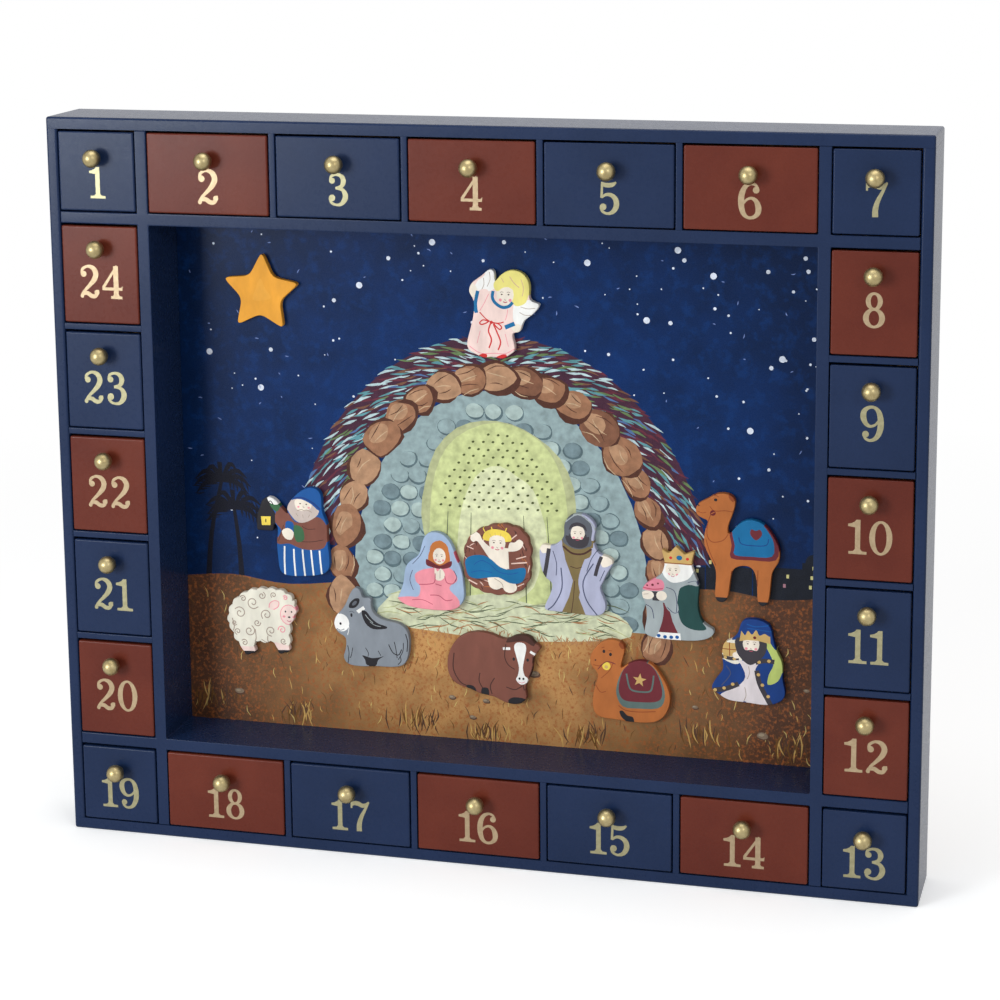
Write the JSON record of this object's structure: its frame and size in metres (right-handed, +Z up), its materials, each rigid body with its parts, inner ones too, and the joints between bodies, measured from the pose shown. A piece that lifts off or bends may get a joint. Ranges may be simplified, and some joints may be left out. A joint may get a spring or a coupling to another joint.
{
  "type": "advent calendar",
  "caption": "Upright wooden box-frame advent calendar with numbered knob drawers round a recessed scene with flat magnetic figures.",
  "frame": {"origin": "on the floor, under the middle of the whole object's bounding box", "axes": "+X to the viewer's right, +Y to the back, +Z up; the drawer fronts face -Y"},
  "size_m": [0.4, 0.0456, 0.34],
  "materials": {
    "navy_paint": "satin navy paint on fibreboard",
    "russet_paint": "satin brown-red paint on fibreboard",
    "backing_board": "bare fibreboard",
    "printed_steel": "matt print on thin sheet steel",
    "star_paint": "matt paint on thin board",
    "blush_paint": "matt paint on thin board",
    "blue_paint": "matt paint on thin board",
    "cream_paint": "matt paint on thin board",
    "grey_paint": "matt paint on thin board",
    "rose_paint": "matt paint on thin board",
    "straw_paint": "matt paint on thin board",
    "lavender_paint": "matt paint on thin board",
    "brown_paint": "matt paint on thin board",
    "silver_paint": "matt paint on thin board",
    "camel_paint": "matt paint on thin board",
    "royal_paint": "matt paint on thin board",
    "knob_brass": "satin brass ball knobs",
    "number_paint": "cream-gold printed numbers"
  },
  "bodies": {
    "calendar_frame": {"top_board": "navy_paint", "bottom_board": "navy_paint", "left_side_board": "navy_paint", "right_side_board": "navy_paint", "inner_frame": "navy_paint", "top_divider_1": "navy_paint", "top_divider_2": "navy_paint", "top_divider_3": "navy_paint", "top_divider_4": "navy_paint", "bottom_divider_1": "navy_paint", "bottom_divider_2": "navy_paint", "bottom_divider_3": "navy_paint", "bottom_divider_4": "navy_paint", "left_divider_1": "navy_paint", "left_divider_2": "navy_paint", "left_divider_3": "navy_paint", "left_divider_4": "navy_paint", "right_divider_1": "navy_paint", "right_divider_2": "navy_paint", "right_divider_3": "navy_paint", "right_divider_4": "navy_paint", "back_panel": "backing_board", "picture_board": "printed_steel"},
    "drawer_01": {"drawer_01": "navy_paint"},
    "drawer_02": {"drawer_02": "russet_paint"},
    "drawer_03": {"drawer_03": "navy_paint"},
    "drawer_04": {"drawer_04": "russet_paint"},
    "drawer_05": {"drawer_05": "navy_paint"},
    "drawer_06": {"drawer_06": "russet_paint"},
    "drawer_07": {"drawer_07": "navy_paint"},
    "drawer_08": {"drawer_08": "russet_paint"},
    "drawer_09": {"drawer_09": "navy_paint"},
    "drawer_10": {"drawer_10": "russet_paint"},
    "drawer_11": {"drawer_11": "navy_paint"},
    "drawer_12": {"drawer_12": "russet_paint"},
    "drawer_13": {"drawer_13": "navy_paint"},
    "drawer_14": {"drawer_14": "russet_paint"},
    "drawer_15": {"drawer_15": "navy_paint"},
    "drawer_16": {"drawer_16": "russet_paint"},
    "drawer_17": {"drawer_17": "navy_paint"},
    "drawer_18": {"drawer_18": "russet_paint"},
    "drawer_19": {"drawer_19": "navy_paint"},
    "drawer_20": {"drawer_20": "russet_paint"},
    "drawer_21": {"drawer_21": "navy_paint"},
    "drawer_22": {"drawer_22": "russet_paint"},
    "drawer_23": {"drawer_23": "navy_paint"},
    "drawer_24": {"drawer_24": "russet_paint"},
    "star_figure": {"star_figure": "star_paint"},
    "angel_figure": {"angel_figure": "blush_paint"},
    "shepherd_figure": {"shepherd_figure": "blue_paint"},
    "sheep_figure": {"sheep_figure": "cream_paint"},
    "donkey_figure": {"donkey_figure": "grey_paint"},
    "mother_figure": {"mother_figure": "rose_paint"},
    "infant_bed_figure": {"infant_bed_figure": "straw_paint"},
    "father_figure": {"father_figure": "lavender_paint"},
    "ox_figure": {"ox_figure": "brown_paint"},
    "gift_king_figure": {"gift_king_figure": "silver_paint"},
    "standing_camel_figure": {"standing_camel_figure": "camel_paint"},
    "lying_camel_figure": {"lying_camel_figure": "camel_paint"},
    "turban_king_figure": {"turban_king_figure": "royal_paint"}
  },
  "joints": [
    {"name": "drawer_01_slide", "type": "slide", "parent": "calendar_frame", "child": "drawer_01", "axis": [0, -1, 0], "range_m": [0, 0.027]},
    {"name": "drawer_02_slide", "type": "slide", "parent": "calendar_frame", "child": "drawer_02", "axis": [0, -1, 0], "range_m": [0, 0.027]},
    {"name": "drawer_07_slide", "type": "slide", "parent": "calendar_frame", "child": "drawer_07", "axis": [0, -1, 0], "range_m": [0, 0.027]},
    {"name": "drawer_08_slide", "type": "slide", "parent": "calendar_frame", "child": "drawer_08", "axis": [0, -1, 0], "range_m": [0, 0.027]},
    {"name": "drawer_10_slide", "type": "slide", "parent": "calendar_frame", "child": "drawer_10", "axis": [0, -1, 0], "range_m": [0, 0.027]},
    {"name": "drawer_12_slide", "type": "slide", "parent": "calendar_frame", "child": "drawer_12", "axis": [0, -1, 0], "range_m": [0, 0.027]},
    {"name": "drawer_13_slide", "type": "slide", "parent": "calendar_frame", "child": "drawer_13", "axis": [0, -1, 0], "range_m": [0, 0.027]},
    {"name": "drawer_14_slide", "type": "slide", "parent": "calendar_frame", "child": "drawer_14", "axis": [0, -1, 0], "range_m": [0, 0.027]},
    {"name": "drawer_16_slide", "type": "slide", "parent": "calendar_frame", "child": "drawer_16", "axis": [0, -1, 0], "range_m": [0, 0.027]},
    {"name": "drawer_18_slide", "type": "slide", "parent": "calendar_frame", "child": "drawer_18", "axis": [0, -1, 0], "range_m": [0, 0.027]},
    {"name": "drawer_19_slide", "type": "slide", "parent": "calendar_frame", "child": "drawer_19", "axis": [0, -1, 0], "range_m": [0, 0.027]},
    {"name": "drawer_20_slide", "type": "slide", "parent": "calendar_frame", "child": "drawer_20", "axis": [0, -1, 0], "range_m": [0, 0.027]},
    {"name": "drawer_22_slide", "type": "slide", "parent": "calendar_frame", "child": "drawer_22", "axis": [0, -1, 0], "range_m": [0, 0.027]},
    {"name": "drawer_24_slide", "type": "slide", "parent": "calendar_frame", "child": "drawer_24", "axis": [0, -1, 0], "range_m": [0, 0.027]},
    {"name": "drawer_04_slide", "type": "slide", "parent": "calendar_frame", "child": "drawer_04", "axis": [0, -1, 0], "range_m": [0, 0.027]},
    {"name": "drawer_06_slide", "type": "slide", "parent": "calendar_frame", "child": "drawer_06", "axis": [0, -1, 0], "range_m": [0, 0.027]},
    {"name": "star_lift", "type": "slide", "parent": "calendar_frame", "child": "star_figure", "axis": [0, -1, 0], "range_m": [0, 0.06]},
    {"name": "angel_lift", "type": "slide", "parent": "calendar_frame", "child": "angel_figure", "axis": [0, -1, 0], "range_m": [0, 0.06]},
    {"name": "shepherd_lift", "type": "slide", "parent": "calendar_frame", "child": "shepherd_figure", "axis": [0, -1, 0], "range_m": [0, 0.06]},
    {"name": "sheep_lift", "type": "slide", "parent": "calendar_frame", "child": "sheep_figure", "axis": [0, -1, 0], "range_m": [0, 0.06]},
    {"name": "donkey_lift", "type": "slide", "parent": "calendar_frame", "child": "donkey_figure", "axis": [0, -1, 0], "range_m": [0, 0.06]},
    {"name": "mother_lift", "type": "slide", "parent": "calendar_frame", "child": "mother_figure", "axis": [0, -1, 0], "range_m": [0, 0.06]},
    {"name": "infant_bed_lift", "type": "slide", "parent": "calendar_frame", "child": "infant_bed_figure", "axis": [0, -1, 0], "range_m": [0, 0.06]},
    {"name": "father_lift", "type": "slide", "parent": "calendar_frame", "child": "father_figure", "axis": [0, -1, 0], "range_m": [0, 0.06]},
    {"name": "ox_lift", "type": "slide", "parent": "calendar_frame", "child": "ox_figure", "axis": [0, -1, 0], "range_m": [0, 0.06]},
    {"name": "gift_king_lift", "type": "slide", "parent": "calendar_frame", "child": "gift_king_figure", "axis": [0, -1, 0], "range_m": [0, 0.06]},
    {"name": "standing_camel_lift", "type": "slide", "parent": "calendar_frame", "child": "standing_camel_figure", "axis": [0, -1, 0], "range_m": [0, 0.06]},
    {"name": "lying_camel_lift", "type": "slide", "parent": "calendar_frame", "child": "lying_camel_figure", "axis": [0, -1, 0], "range_m": [0, 0.06]},
    {"name": "turban_king_lift", "type": "slide", "parent": "calendar_frame", "child": "turban_king_figure", "axis": [0, -1, 0], "range_m": [0, 0.06]},
    {"name": "drawer_03_slide", "type": "slide", "parent": "calendar_frame", "child": "drawer_03", "axis": [0, -1, 0], "range_m": [0, 0.027]},
    {"name": "drawer_05_slide", "type": "slide", "parent": "calendar_frame", "child": "drawer_05", "axis": [0, -1, 0], "range_m": [0, 0.027]},
    {"name": "drawer_09_slide", "type": "slide", "parent": "calendar_frame", "child": "drawer_09", "axis": [0, -1, 0], "range_m": [0, 0.027]},
    {"name": "drawer_11_slide", "type": "slide", "parent": "calendar_frame", "child": "drawer_11", "axis": [0, -1, 0], "range_m": [0, 0.027]},
    {"name": "drawer_15_slide", "type": "slide", "parent": "calendar_frame", "child": "drawer_15", "axis": [0, -1, 0], "range_m": [0, 0.027]},
    {"name": "drawer_17_slide", "type": "slide", "parent": "calendar_frame", "child": "drawer_17", "axis": [0, -1, 0], "range_m": [0, 0.027]},
    {"name": "drawer_21_slide", "type": "slide", "parent": "calendar_frame", "child": "drawer_21", "axis": [0, -1, 0], "range_m": [0, 0.027]},
    {"name": "drawer_23_slide", "type": "slide", "parent": "calendar_frame", "child": "drawer_23", "axis": [0, -1, 0], "range_m": [0, 0.027]}
  ]
}
